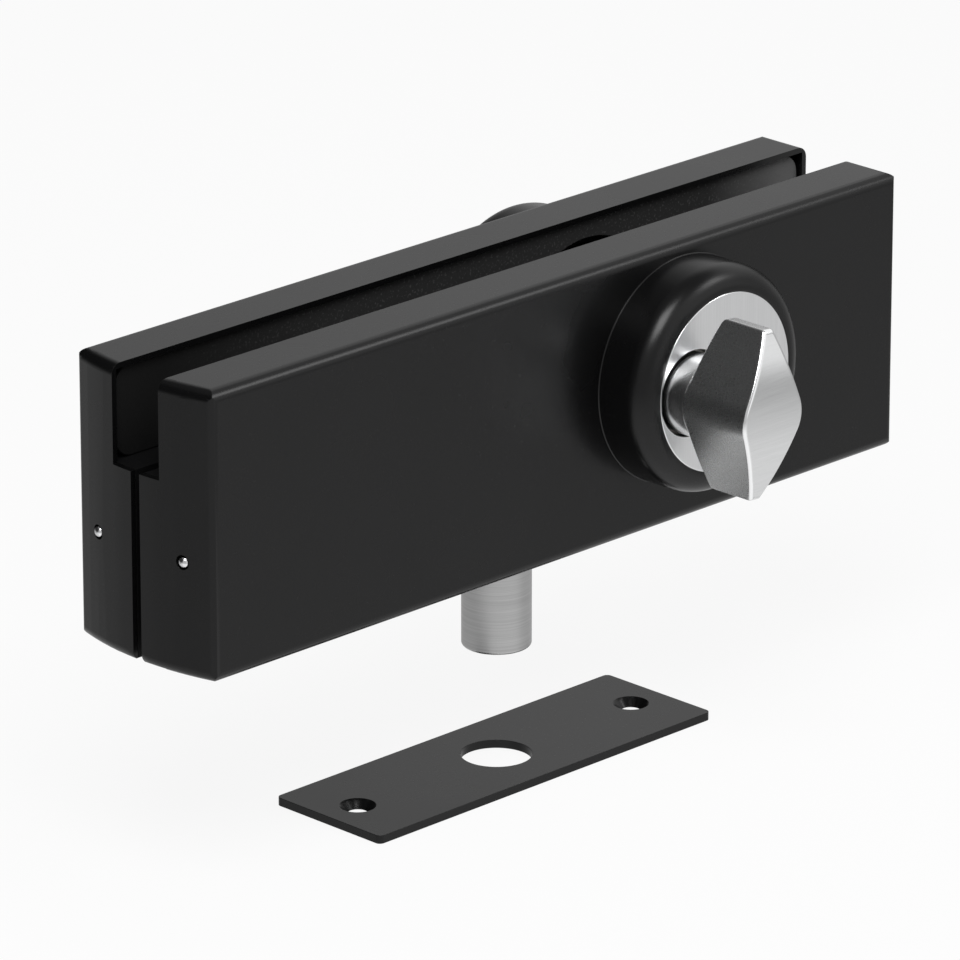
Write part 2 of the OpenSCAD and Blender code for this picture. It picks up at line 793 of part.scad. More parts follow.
// Block at the underside with the bore that guides the bolt
module bolt_guide() {
    top = carriage_z0 - 0.2;
    color(brass_tone) difference() {
        translate([-guide_x, -guide_y, case_z]) cube([2 * guide_x, 2 * guide_y, top - case_z]);
        translate([0, 0, case_z - over]) cylinder(r = bolt_r + running, h = top - case_z + 2 * over);
    }
}

// Plate of the case with the hole for the profile cylinder
module case_plate_form() {
    difference() {
        union() {
            translate([-case_left, case_z]) square([case_left + case_right, case_top - case_z]);
            translate([cyl_x, cyl_z]) circle(barrel_r + 1.5);
        }
        profile(side_play);
        translate([-guide_x - fit, case_z - over])
            square([2 * guide_x + 2 * fit, carriage_z0 - 0.2 + fit + over - case_z]);
        for (p = posts) translate(p) circle(d = case_screw_d + fit / 2);
    }
}

module lock_case() {
    color(zinc) {
        face_to_y(case_y, plate_y) case_plate_form();
        difference() {
            face_to_y(-case_y, case_y) {
                translate([-case_left, case_z]) square([wall_t, case_top - case_z]);
                translate([case_right - wall_t, case_z]) square([wall_t, case_top - case_z]);
                translate([-case_left, case_z]) square([case_left - guide_x - fit, wall_t]);
                translate([guide_x + fit, case_z]) square([case_right - guide_x - fit, wall_t]);
                for (p = posts) translate(p) circle(post_r);
                translate([fixing_x - fixing_boss, case_z]) square([2 * fixing_boss, fixing_head_h + 1]);
            }
            face_to_y(-case_y - over, case_y + over)
                for (p = posts) translate(p) circle(d = case_screw_d + fit / 2);
            translate([fixing_x, 0, case_z - over]) cylinder(d = fixing_d + 2 * fit, h = lower_h);
            translate([fixing_x, 0, case_z + 0.2])
                cylinder(d1 = fixing_d * 1.8 + 2 * fit, d2 = fixing_d, h = fixing_head_h);
            translate([fixing_x, 0, case_z - over]) cylinder(d = fixing_d * 1.8 + 2 * fit, h = over + 0.2);
        }
    }
}

module case_cover() {
    color(zinc) face_to_y(-plate_y, -case_y) case_plate_form();
}

module case_screws() {
    color(steel) for (p = posts) translate([p[0], -plate_y, p[1]]) along_y()
        cylinder(d = case_screw_d, h = 2 * plate_y);
}

// Bowed leaf that brakes the carriage, its ends against the wall of the case
module brake_spring() {
    bow_r = 8;
    crown_x = carriage_x0 - 0.2;
    wall_x = -case_left + wall_t + 0.05;
    color(steel) face_to_y(-4, 4) intersection() {
        translate([crown_x - bow_r, notch_z]) difference() {
            circle(bow_r);
            circle(bow_r - spring_t);
        }
        translate([wall_x, notch_z - bow_r]) square([2 * bow_r, 2 * bow_r]);
    }
}

module strike_plate() {
    csk_h = (strike_csk_d - strike_screw_d) / 2;
    color(black) difference() {
        translate([0, 0, strike_z]) linear_extrude(strike_t)
            round_box([-strike_l / 2, -strike_w / 2], [strike_l / 2, strike_w / 2], strike_corner);
        translate([0, 0, strike_z - over]) cylinder(d = strike_hole_d, h = strike_t + 2 * over);
        for (s = [-1, 1]) translate([s * strike_pitch / 2, 0, strike_z]) {
            translate([0, 0, -over]) cylinder(d = strike_screw_d, h = strike_t + 2 * over);
            translate([0, 0, strike_t - csk_h])
                cylinder(d1 = strike_screw_d, d2 = strike_csk_d, h = csk_h);
            translate([0, 0, strike_t]) cylinder(d = strike_csk_d, h = over);
        }
    }
}

front_cover();
back_cover();
front_clamp_body();
back_clamp_body();
front_gasket();
back_gasket();
clamp_screws();
cover_catches();
front_rosette();
back_rosette();
front_disc();
back_disc();
cylinder_body();
cylinder_screw();
chamber_plugs();
pin_springs();
driver_pins();
key_pins();
key_plug();
key_circlip();
turn_plug();
turn_circlip();
clutch();
cam();
thumbturn();
turn_grub_screw();
bolt();
bolt_carriage();
bolt_pin();
bolt_guide();
lock_case();
case_cover();
case_screws();
brake_spring();
strike_plate();
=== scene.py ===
# %% [markdown]
# # A patch lock for a glass door
# The real lock clamps the lower corner of a glass door between two covered halves, and its
# thumbturn throws a round bolt into a plate on the floor. The CAD model of it is packed as a
# frame: every solid is already in its place, in metres, on the body that moves it. We could
# model it all again in Blender, but then sizes and joints would drift away from the CAD. So
# this lesson keeps the solids that have the right form, lays finer surfaces over those that
# the eye rests on, and gives every piece a finish made from nodes.

import json
import math

import bmesh
import bpy
import numpy as np
from mathutils import Matrix, Vector


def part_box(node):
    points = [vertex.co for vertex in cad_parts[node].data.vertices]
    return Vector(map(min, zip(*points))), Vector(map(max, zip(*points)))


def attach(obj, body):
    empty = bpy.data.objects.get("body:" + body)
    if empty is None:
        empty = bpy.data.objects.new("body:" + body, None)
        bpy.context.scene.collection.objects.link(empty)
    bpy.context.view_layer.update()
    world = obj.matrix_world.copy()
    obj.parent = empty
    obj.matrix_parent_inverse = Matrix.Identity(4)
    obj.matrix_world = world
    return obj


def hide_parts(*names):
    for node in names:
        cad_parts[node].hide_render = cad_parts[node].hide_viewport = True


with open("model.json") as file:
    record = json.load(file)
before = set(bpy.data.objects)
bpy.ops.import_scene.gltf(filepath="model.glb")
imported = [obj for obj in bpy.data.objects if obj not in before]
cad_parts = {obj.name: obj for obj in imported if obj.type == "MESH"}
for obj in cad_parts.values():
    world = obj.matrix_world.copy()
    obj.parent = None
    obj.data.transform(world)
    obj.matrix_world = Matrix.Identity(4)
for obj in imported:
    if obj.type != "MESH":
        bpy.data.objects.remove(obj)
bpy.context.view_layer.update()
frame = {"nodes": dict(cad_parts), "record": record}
nodes, record = frame["nodes"], frame["record"]
body_of_node = {n: b for b, members in record["behaviour"]["bodies"].items() for n in members}
slot_of_node = {p["node"]: p["material_slot"] for p in record["subparts"]}
MM = 0.001

# %% [markdown]
# ## Sizes that the scene repeats
# The new surfaces have to meet the solids round them, so they need a few of the CAD model's
# sizes. They could be measured on the meshes, but a written number is exact and easier to
# read. So they stand here, in millimetres, the same as in the CAD source. x runs along the
# door, the thumbturn looks towards -y, and z = 0 is the edge of the glass.

# %% Sizes
COVER_Y = 16.0  # outside of a cover, from the mid plane
CYL_X, CYL_Z = 20.1, -5.4  # axis of the profile cylinder
ROSETTE_X, ROSETTE_R, ROSETTE_H = 28.0, 19.9, 10.3  # centre, radius and height over the cover
SHOULDER_R, FOOT_FLARE = 4.0, 0.15  # round shoulder of a rosette, and the flare at its foot
SPIGOT_R, CAVITY_R, SPIGOT_END = 17.6, 16.8, 7.5  # threaded neck of a rosette, bore and end
LIP_W, LIP_BACK = 1.4, 2.2  # lip that carries the disc: its width, and its back below the face
FACE_Y = COVER_Y + ROSETTE_H  # face of the disc, from the mid plane
DISC_R, DISC_T, DISC_HOLE_R = 15.65, 1.2, 7.55
DISC_PLAY = 0.05  # gap round the disc
NECK_R = 7.05  # neck of the thumbturn
BLADE_OUT, BLADE_HALF = 18.6, 14.75  # crown of the blade over the disc, and its half length
TIP_W, TIP_R = 2.6, 0.5  # width of the blade's tips and their corner radius
CROWN_R, BACK_R = 41.0, 50.0  # radii of the crowned front and back
HEEL_R, HEEL_LIFT = 1.3, 0.05  # rounded corner at the back of the tips
BLADE_ROOT, BLADE_TILT = 4.4, 5.5  # back of the blade over the disc, and its tilt in degrees
BOLT_R, BOLT_END, STEM_R = 6.0, -51.9, 3.5  # bolt, its lower end, and its stem
print("face of the disc at", FACE_Y, "mm, blade", 2 * BLADE_HALF, "mm long")

# %% [markdown]
# ## Writing materials as sums
# A material is a tree of nodes. It could be built one link at a time, but then the idea is
# lost among the calls, and an expression is easier to read. `Wire` stands for one output of a
# node, and sums and products with it add Math nodes. `Recipe.node` adds any other node: its
# settings go in first, then the numbers or wires of its inputs.

# %% A small language for materials
class Wire:
    """One output socket; arithmetic on it adds Math nodes to the same material."""

    def __init__(self, recipe, socket):
        self.recipe, self.socket = recipe, socket

    def _math(self, operation, a, b):
        return self.recipe.node("ShaderNodeMath", {"operation": operation}, {0: a, 1: b})

    def __add__(self, other):
        return self._math("ADD", self, other)

    def __radd__(self, other):
        return self._math("ADD", other, self)

    def __rsub__(self, other):
        return self._math("SUBTRACT", other, self)

    def __mul__(self, other):
        return self._math("MULTIPLY", self, other)

    def __rmul__(self, other):
        return self._math("MULTIPLY", other, self)

    def most(self, other):
        """The larger of the two."""
        return self._math("MAXIMUM", self, other)


class Recipe:
    """A material, or a world, under construction, with its main shader."""

    def __init__(self, name, owner=None):
        self.material = owner or bpy.data.materials.new(name)
        self.material.use_nodes = True
        self.tree = self.material.node_tree
        self.shader = self.tree.nodes.get("Principled BSDF") or self.tree.nodes["Background"]

    def node(self, kind, settings=None, inputs=None, output=0):
        """Adds a node, applies its settings, then sets or links its inputs."""
        made = self.tree.nodes.new(kind)
        for key, value in (settings or {}).items():
            if key == "stops":
                elements = made.color_ramp.elements
                while len(elements) < len(value):
                    elements.new(0.5)
                for element, (place, grey) in zip(elements, value):
                    element.position = place
                    element.color = tone(grey)
            else:
                setattr(made, key, value)
        for key, value in (inputs or {}).items():
            self.put(made.inputs[key], value)
        return Wire(self, made.outputs[output])

    def put(self, socket, value):
        """Links a wire to a socket, or sets the socket's own value."""
        if isinstance(value, Wire):
            self.tree.links.new(value.socket, socket)
        else:
            socket.default_value = value

    def set(self, **values):
        """Sets the shader's sockets; an underscore in a name stands for a space."""
        for key, value in values.items():
            self.put(self.shader.inputs[key.replace("_", " ")], value)
        return self

    def place(self, scale=(1, 1, 1)):
        """Object coordinates in metres, stretched by the scale along x, y and z."""
        here = self.node("ShaderNodeTexCoord", output=3)
        return self.node("ShaderNodeMapping", None, {"Vector": here, "Scale": scale})

    def noise(self, where, scale, detail=2.0, rough=0.5):
        """Noise from 0 to 1 whose grain is about 1/scale metres."""
        return self.node("ShaderNodeTexNoise", None,
                         {"Vector": where, "Scale": scale, "Detail": detail, "Roughness": rough})

    def ramp(self, factor, stops):
        """A grey tone looked up along the stops, each of which is a place and its tone."""
        return self.node("ShaderNodeValToRGB", {"stops": stops}, {"Fac": factor})

    def blend(self, factor, a, b):
        """Colour a where the factor is 0, colour b where it is 1."""
        return self.node("ShaderNodeMix", {"data_type": "RGBA"},
                         {"Factor": factor, "A": a, "B": b}, output=2)

    def beside(self, wire, output):
        """Another output of the node that a wire comes from."""
        return Wire(self, wire.socket.node.outputs[output])

    def span(self, value, low, high, at_low, at_high):
        """The value's place between low and high, carried over to at_low and at_high:
        at_low + (at_high - at_low) * (value - low) / (high - low), held at both ends."""
        return self.node("ShaderNodeMapRange", None,
                         {"Value": value, "From Min": low, "From Max": high,
                          "To Min": at_low, "To Max": at_high})

    def bump(self, height, depth, strength=1.0):
        """Normal of a surface whose height varies by the depth, in metres."""
        return self.node("ShaderNodeBump", None,
                         {"Height": height, "Distance": depth, "Strength": strength})

    def rays(self):
        """Two wires: 1 for a ray from the camera, and 1 for a ray that metal or glass mirrors."""
        camera_ray = self.node("ShaderNodeLightPath")
        glossy = self.beside(camera_ray, "Is Glossy Ray")
        return camera_ray, glossy.most(self.beside(camera_ray, "Is Transmission Ray"))


def tone(r, g=None, b=None):
    """A colour with its alpha, from one grey value or three."""
    return (r, r if g is None else g, r if b is None else b, 1)


print("Wire and Recipe are ready")

# %% [markdown]
# ## The black coat
# The covers, the rosettes and the strike plate have a thin satin coat, baked on as powder. One
# even black with one gloss would do from afar, but close up a coat is never quite even: it has
# a faint orange-peel of about half a millimetre, its sheen wanders over centimetres, and a few
# specks of dust are paler. Three noises of those sizes give all of that at any distance.

# %% Black coat
def black_coat():
    """Satin black: tone and gloss follow a cloud, the bump a peel, and the specks are pale."""
    r = Recipe("black_coat_satin")
    at = r.place()
    cloud = r.noise(at, 45, 3.0)
    peel = r.noise(at, 1400, 2.0)
    speck = r.ramp(r.noise(at, 2600, 1.0), [(0.74, 0.0), (0.80, 1.0)])
    base = r.blend(cloud, tone(0.0022, 0.0022, 0.0024), tone(0.0042, 0.0042, 0.0044))
    base = r.blend(speck * 0.25, base, tone(0.03))
    rough = 0.24 + cloud * 0.06 + speck * 0.1
    r.set(Base_Color=base, Roughness=rough, Normal=r.bump(peel, 0.003 * MM, 0.5))
    r.set(Specular_IOR_Level=0.31)
    return r.material


finish = {"black_coat": black_coat()}
print("black coat:", len(finish["black_coat"].node_tree.nodes), "nodes")

# %% [markdown]
# ## The cast clamp bodies and the gasket
# The castings behind the covers are dark and a little rougher, with the open grain of a
# casting. The gasket is a fibre-filled rubber sheet: dull, grainy, and dotted with lighter
# filler. Its open left end is darkened by painted shade, and its right end paled by painted
# light. A painted map could hold those, but two ramps along x need no picture and stay sharp.

# %% Casting and gasket
# where the gasket's painted shade (left end) and painted light (right end) fade in, along x in
# metres
PAINTED_SHADE_FROM, PAINTED_SHADE_TO = -70 * MM, -30 * MM
PAINTED_LIGHT_FROM, PAINTED_LIGHT_TO = 58 * MM, 76 * MM


def clamp_casting():
    """Dark metal: the tone follows a cloud, the roughness and the bump follow the grain."""
    r = Recipe("clamp_casting_dark")
    at = r.place()
    grain = r.noise(at, 900, 4.0, 0.65)
    cloud = r.noise(at, 60, 2.0)
    base = r.blend(cloud, tone(0.0025, 0.0025, 0.0025), tone(0.006, 0.006, 0.0065))
    rough = 0.48 + grain * 0.2
    r.set(Base_Color=base, Roughness=rough, Normal=r.bump(grain, 0.06 * MM, 0.5))
    r.set(Specular_IOR_Level=0.12)
    return r.material


def gasket_rubber():
    """Dull rubber with dots, blended along x into painted shade at its left end and painted light
    at its right.
    """
    r = Recipe("gasket_rubber")
    at = r.place()
    grain = r.noise(at, 1500, 3.0, 0.7)
    dots = r.ramp(r.noise(at, 2200, 1.0), [(0.60, 0.0), (0.70, 1.0)])
    along = r.beside(r.node("ShaderNodeSeparateXYZ", None, {0: at}), "X")
    # painted shade: the rubber darkens towards its open left end, where less light reaches it
    painted_shade = r.span(along, PAINTED_SHADE_FROM, PAINTED_SHADE_TO, 1.0, 0.0)
    # painted light: the rubber pales towards its right end, where more light falls on it
    painted_light = r.span(along, PAINTED_LIGHT_FROM, PAINTED_LIGHT_TO, 0.0, 1.0)
    base = r.blend(dots * 0.6, tone(0.022), tone(0.085))
    # the painted shade and the painted light are blended into the rubber's own tone here
    base = r.blend(painted_shade, base, tone(0.0025))
    base = r.blend(painted_light * 0.9, base, tone(0.13))
    rough = 0.78 + grain * 0.12
    r.set(Base_Color=base, Roughness=rough, Normal=r.bump(grain, 0.08 * MM, 0.6))
    r.set(Specular_IOR_Level=0.25)
    return r.material


finish.update(clamp_casting=clamp_casting(), gasket=gasket_rubber())
print("castings and rubber:", sorted(finish))

# %% [markdown]
# ## Brushed metal
# Brushing leaves fine scratches in one direction. An anisotropic shader could blur the
# highlights, but it shows no scratches close up. So a noise is squeezed across the scratches
# and stretched along them, which gives both the streaks in the tone and the tiny ridges that
# widen the highlights. Blasting and turning differ only in where the noise is stretched: not
# at all, or round the axis.

# %% Metal finishes
def metal(r, rough, grain, depth, strength, base):
    """Metal with a base colour and roughness, and a bump of the given depth in metres."""
    r.set(Base_Color=base, Metallic=1.0, Roughness=rough)
    r.set(Normal=r.bump(grain, depth, strength))
    return r.material


def brushed(name, along, dark, light, rough=0.15, depth=0.0015 * MM, pitch=9000):
    """Metal with scratches along one axis: 0 for x, 1 for y and 2 for z."""
    r = Recipe(name)
    fine = r.place(tuple(70 if i == along else pitch for i in range(3)))
    broad = r.place(tuple(30 if i == along else 1500 for i in range(3)))
    scratch = r.noise(fine, 1.0, 3.0, 0.6)
    streak = r.noise(broad, 1.0, 2.0)
    cloud = r.noise(r.place(), 70, 2.0)
    mix = scratch * 0.75 + streak * 0.25
    base = r.blend(r.ramp(mix, [(0.3, 0.0), (0.7, 1.0)]), tone(*dark), tone(*light))
    return metal(r, rough + scratch * 0.06 + cloud * 0.03, scratch, depth, 0.6, base)


def blasted(name, dark, light, rough, depth=0.004 * MM):
    """Metal with the even grain of fine bead blasting, a quarter of a millimetre across."""
    r = Recipe(name)
    at = r.place()
    grain = r.noise(at, 4200, 2.0, 0.6)
    cloud = r.noise(at, 60, 2.0)
    base = r.blend(r.ramp(grain, [(0.35, 0.0), (0.65, 1.0)]), tone(*dark), tone(*light))
    return metal(r, rough + grain * 0.08 + cloud * 0.04, grain, depth, 0.6, base)


def turned(name, dark, light, rough, pitch=3800):
    """Metal turned on a lathe: rings that follow z only."""
    r = Recipe(name)
    rings = r.noise(r.place((30, 30, pitch)), 1.0, 3.0, 0.6)
    cloud = r.noise(r.place(), 80, 2.0)
    base = r.blend(r.ramp(rings, [(0.3, 0.0), (0.7, 1.0)]), tone(*dark), tone(*light))
    return metal(r, rough + rings * 0.12 + cloud * 0.05, rings, 0.005 * MM, 0.6, base)


def plain_metal(name, dark, light, rough, grain_scale=700):
    """Metal with a cloudy, slightly grainy surface, for pieces inside the lock."""
    r = Recipe(name)
    at = r.place()
    cloud = r.noise(at, 120, 3.0)
    grain = r.noise(at, grain_scale, 3.0)
    base = r.blend(cloud, tone(*dark), tone(*light))
    return metal(r, rough + grain * 0.14, grain, 0.01 * MM, 0.4, base)


print("four kinds of metal are ready")

# %% [markdown]
# ## The metals of the lock
# A real lock mixes metals: stainless steel where hands touch it, nickel-plated brass for the
# cylinder, bare brass for the pins, and zinc-plated steel inside. Each line below is one of
# them: its darker and lighter tone, and how rough it is. A photo of each would be heavier, and
# these few numbers can be compared at a glance.

# %% Make the metals
STEEL_DARK, STEEL_LIGHT = (0.75, 0.755, 0.76), (0.84, 0.845, 0.85)
FLANK_DARK, FLANK_LIGHT = (0.72, 0.725, 0.73), (0.88, 0.885, 0.89)
EDGE_DARK, EDGE_LIGHT = (0.86, 0.865, 0.87), (0.92, 0.925, 0.93)
finish.update({
    "satin_steel": brushed("steel_brushed_z", 2, STEEL_DARK, STEEL_LIGHT, 0.26, 0.002 * MM),
    "steel_x": brushed("steel_brushed_x", 0, STEEL_DARK, STEEL_LIGHT),
    "steel_flank": blasted("steel_blasted", FLANK_DARK, FLANK_LIGHT, 0.22),
    "steel_neck": blasted("steel_smooth", STEEL_DARK, STEEL_LIGHT, 0.2, 0.001 * MM),
    "steel_edge": plain_metal("steel_polished_edge", EDGE_DARK, EDGE_LIGHT, 0.05),
    "steel_ball": plain_metal("steel_ball", (0.74, 0.74, 0.75), (0.82, 0.82, 0.83), 0.02),
    "steel_turned": turned("steel_turned", (0.40, 0.40, 0.40), (0.53, 0.53, 0.53), 0.28),
    "cylinder_nickel": plain_metal("nickel_satin", (0.46, 0.45, 0.42), (0.58, 0.57, 0.54), 0.30),
    "pin_brass": plain_metal("brass_turned", (0.55, 0.38, 0.16), (0.74, 0.55, 0.27), 0.25),
    "screw_steel": plain_metal("zinc_screw", (0.38, 0.38, 0.40), (0.55, 0.55, 0.56), 0.30),
    "spring_steel": plain_metal("spring_dark", (0.22, 0.22, 0.23), (0.34, 0.34, 0.35), 0.32),
    "case_steel": plain_metal("zinc_sheet", (0.36, 0.37, 0.38), (0.52, 0.53, 0.55), 0.38, 300),
})
print(len(finish), "finishes:", sorted(finish))

# %% [markdown]
# ## Putting a finish on the CAD solids
# A solid from CAD arrives as loose triangles with hard shading, while a real sheet or casting
# has broken edges that catch the light. Remodelling it would lose its exact form. So a visible
# one gets a twin: a merged copy with smooth shading, hard only where two faces meet at a real
# edge, and with a fine bevel. The hidden ones keep their mesh and get their finish only.

# %% Coat and dress
MERGE_DIST, SLIVER_DIST = 2e-6, 1e-6  # metres
FLAT_ANGLE, EDGE_ANGLE = 0.5, 32  # degrees


def coat(obj, material):
    """One material on the whole object."""
    obj.data.materials.clear()
    obj.data.materials.append(material)


def settle(obj, node, material=None):
    """Puts a finished piece in the place of its CAD node."""
    if material:
        coat(obj, material)
    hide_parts(node)
    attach(obj, body_of_node[node])
    print(obj.name, "replaces", node, "with", len(obj.data.polygons), "faces")


def in_scene(name, data):
    """A new object of a mesh, a lamp or a camera, linked to the scene."""
    obj = bpy.data.objects.new(name, data)
    bpy.context.scene.collection.objects.link(obj)
    return obj


def smooth(data, angle):
    """Smooth shading, but hard where two faces meet at more than the angle in degrees."""
    data.shade_smooth()
    data.set_sharp_from_angle(angle=math.radians(angle))


def twin(node, material, bevel):
    """A merged, smooth copy of a CAD solid with a fine bevel on its edges, in millimetres.
    Where the bevel finds no room it leaves faces without area, which the weld closes."""
    data = nodes[node].data.copy()
    bm = bmesh.new()
    bm.from_mesh(data)
    bmesh.ops.remove_doubles(bm, verts=bm.verts, dist=MERGE_DIST)
    bmesh.ops.dissolve_limit(bm, angle_limit=math.radians(FLAT_ANGLE), verts=bm.verts,
                             edges=bm.edges)
    bm.to_mesh(data)
    bm.free()
    smooth(data, EDGE_ANGLE)
    obj = in_scene(node + "_dressed", data)
    if bevel:
        edge = obj.modifiers.new("broken_edge", "BEVEL")
        edge.width = bevel * MM
        edge.segments = 2
        edge.limit_method = "ANGLE"
        edge.angle_limit = math.radians(EDGE_ANGLE)
        edge.use_clamp_overlap = True
        obj.modifiers.new("close_slivers", "WELD").merge_threshold = SLIVER_DIST
    even = obj.modifiers.new("flat_faces_stay_flat", "WEIGHTED_NORMAL")
    even.keep_sharp = True
    even.weight = 100
    settle(obj, node, material)


for name, obj in nodes.items():
    coat(obj, finish[slot_of_node[name]])
print(len(nodes), "solids have their finish")

# %% [markdown]
# ## Covers, castings and gaskets
# The covers and the strike plate are pressed and coated sheet, the clamp bodies are castings
# with softer edges, and the gaskets are cut from sheet. All are flat-sided forms that the CAD
# model has right, so each only gets a twin, with the bevel that its way of making leaves.

# %% Dress the large pieces
COAT_EDGE, CAST_EDGE, CUT_EDGE = 0.12, 0.2, 0.15
for name in ["front_cover", "back_cover", "strike_plate"]:
    twin(name, finish["black_coat"], COAT_EDGE)
for name in ["front_clamp_body", "back_clamp_body"]:
    twin(name, finish["clamp_casting"], CAST_EDGE)
for name in ["front_gasket", "back_gasket"]:
    twin(name, finish["gasket"], CUT_EDGE)

# %% [markdown]
# ## Round pieces as turned profiles
# The rosettes, the bolt and the neck are turned on a lathe. Blender's Screw modifier can carry
# a profile round an axis, but a grid of points gives full control of where the rows lie. The
# profile is a list of (radius, height) points, the angle is the second parameter, and numpy
# works out the whole grid at once.

# %% Grids and turned parts
GRID_MERGE, GRID_LEAST, GRID_EDGE_ANGLE = 1e-7, 1e-8, 35  # metres, metres and degrees


def sheet_mesh(name, points, close_u=False, close_v=False):
    """A mesh from a grid of points (u, v, 3): each cell is one four-sided face.
    Rows or columns that share a point are merged, so poles and seams close."""
    n, m, _ = points.shape
    index = np.arange(n * m).reshape(n, m)
    rows = np.arange(n if close_u else n - 1)
    cols = np.arange(m if close_v else m - 1)
    i, j = np.meshgrid(rows, cols, indexing="ij")
    corners = [index[i, j], index[(i + 1) % n, j],
               index[(i + 1) % n, (j + 1) % m], index[i, (j + 1) % m]]
    faces = np.stack(corners, axis=-1).reshape(-1, 4)
    data = bpy.data.meshes.new(name)
    data.from_pydata((points.reshape(-1, 3) * MM).tolist(), [], faces.tolist())
    bm = bmesh.new()
    bm.from_mesh(data)
    bmesh.ops.remove_doubles(bm, verts=bm.verts, dist=GRID_MERGE)
    bmesh.ops.dissolve_degenerate(bm, edges=bm.edges, dist=GRID_LEAST)
    bmesh.ops.recalc_face_normals(bm, faces=bm.faces)
    bm.to_mesh(data)
    bm.free()
    smooth(data, GRID_EDGE_ANGLE)
    return in_scene(name, data)


def arc(centre, radius, start, stop, steps):
    """Points on a circle in the plane of the profile, from one angle to another in degrees:
    the centre plus the radius times (cos t, sin t)."""
    t = np.radians(np.linspace(start, stop, steps))
    return np.stack([centre[0] + radius * np.cos(t), centre[1] + radius * np.sin(t)], axis=1)


def carried_round(profile, centre, steps):
    """The two coordinates across the axis, and the one along it, of a profile (radius, height)
    that is carried round: centre + radius * (cos t, sin t), and the height as it is."""
    t = np.linspace(0, 2 * np.pi, steps, endpoint=False)[:, None]
    r, h = profile[None, :, 0], profile[None, :, 1]
    return centre[0] + r * np.cos(t), centre[1] + r * np.sin(t), h + 0 * t


def turn_y(profile, centre, side, steps=160):
    """A profile carried round an axis along y, on one side of the mid plane."""
    x, z, h = carried_round(profile, centre, steps)
    return np.stack([x, side * h, z], axis=-1)


def turn_z(profile, centre, steps=128):
    """A profile carried round an upright axis; its heights are z."""
    x, y, h = carried_round(profile, centre, steps)
    return np.stack([x, y, h], axis=-1)


print("grid tools are ready")

# %% [markdown]
# ## Rosettes
# A rosette is the round cup that covers the end of the cylinder: a small flare at its foot, a
# straight wall, a broad round shoulder, and a step down to the seat of the disc. The solid has
# the same form in few facets, which show as bands in the sheen. Its profile is closed, so the
# turned surface has no open edge.

# %% Rosettes
RIM_BREAK = 0.1
seat_r = DISC_R + DISC_PLAY
lip_r, lip_y = DISC_R - LIP_W, FACE_Y - LIP_BACK
rosette_profile = np.concatenate([
    [[SPIGOT_R, SPIGOT_END], [SPIGOT_R, COVER_Y]],
    [[ROSETTE_R + FOOT_FLARE, COVER_Y], [ROSETTE_R, COVER_Y + FOOT_FLARE]],
    arc((ROSETTE_R - SHOULDER_R, FACE_Y - SHOULDER_R), SHOULDER_R, 0, 90, 24),
    arc((seat_r + RIM_BREAK, FACE_Y - RIM_BREAK), RIM_BREAK, 90, 180, 4),
    [[seat_r, FACE_Y - DISC_T], [lip_r, FACE_Y - DISC_T], [lip_r, lip_y]],
    [[CAVITY_R, lip_y], [CAVITY_R, SPIGOT_END]],
])
for node, side in [("front_rosette", -1), ("back_rosette", 1)]:
    grid = turn_y(rosette_profile, (ROSETTE_X, CYL_Z), side)
    settle(sheet_mesh(node + "_turned", grid, True, True), node, finish["black_coat"])

# %% [markdown]
# ## Discs
# The disc is a brushed steel washer that hides the joint between cylinder and rosette. Its hole
# stands off the centre, so it can't be turned from one profile. But both rims are circles, so
# the flat between them is a grid whose rows slide from the outer circle to the inner one. The
# rims are rounded by a tenth or two of a millimetre and polished, which draws the thin bright
# line round the disc. The walls of the hole and of the rim get the near-black casting finish as
# painted shade, which draws the dark gap round the neck.

# %% Discs
OUTER_BREAK, HOLE_BREAK, HOLD = 0.20, 0.12, 0.05


def disc_grid(side, steps=192):
    """Rows: back rim, quarter circle of the outer rim, rows that hold the face flat, quarter
    circle round the rim of the hole, back of the hole. Each row mixes two circles: centre and
    radius change evenly with the share of the way from the outer to the inner one. Its second
    number is the inset from that circle, and its third the distance from the mid plane."""
    quarter = np.linspace(0, np.pi / 2, 6)
    outer = [(0.0, OUTER_BREAK * (1 - math.cos(a)), FACE_Y - OUTER_BREAK * (1 - math.sin(a)))
             for a in quarter]
    inner = [(1.0, -HOLE_BREAK * (1 - math.sin(a)), FACE_Y - HOLE_BREAK * (1 - math.cos(a)))
             for a in quarter]
    face = [(0.0, OUTER_BREAK + HOLD, FACE_Y), (0.33, 0.0, FACE_Y), (0.66, 0.0, FACE_Y),
            (1.0, -HOLE_BREAK - HOLD, FACE_Y)]
    back_y = FACE_Y - DISC_T
    rows = np.array([(0.0, 0.0, back_y), *outer, *face, *inner, (1.0, 0.0, back_y)])
    share, inset, y = rows[:, 0], rows[:, 1], rows[:, 2]
    t = np.linspace(0, 2 * np.pi, steps, endpoint=False)[:, None]
    radius = DISC_R + (DISC_HOLE_R - DISC_R) * share - inset
    centre_x = ROSETTE_X + (CYL_X - ROSETTE_X) * share
    return np.stack([centre_x + radius * np.cos(t), side * y + 0 * t,
                     CYL_Z + radius * np.sin(t)], axis=-1)


def by_normal(obj, face, edge, rest, limits=(0.9, 0.2)):
    """Three finishes told apart by how far each face looks along the axis, which is the size
    of the y of its normal: the face itself, its broken edge and the sides."""
    normals = np.zeros(len(obj.data.polygons) * 3)
    obj.data.polygons.foreach_get("normal", normals)
    along = np.abs(normals.reshape(-1, 3)[:, 1])
    kind = np.where(along > limits[0], 0, np.where(along > limits[1], 1, 2)).astype(np.int32)
    for name in (face, edge, rest):
        obj.data.materials.append(finish[name])
    obj.data.polygons.foreach_set("material_index", kind)
    return obj


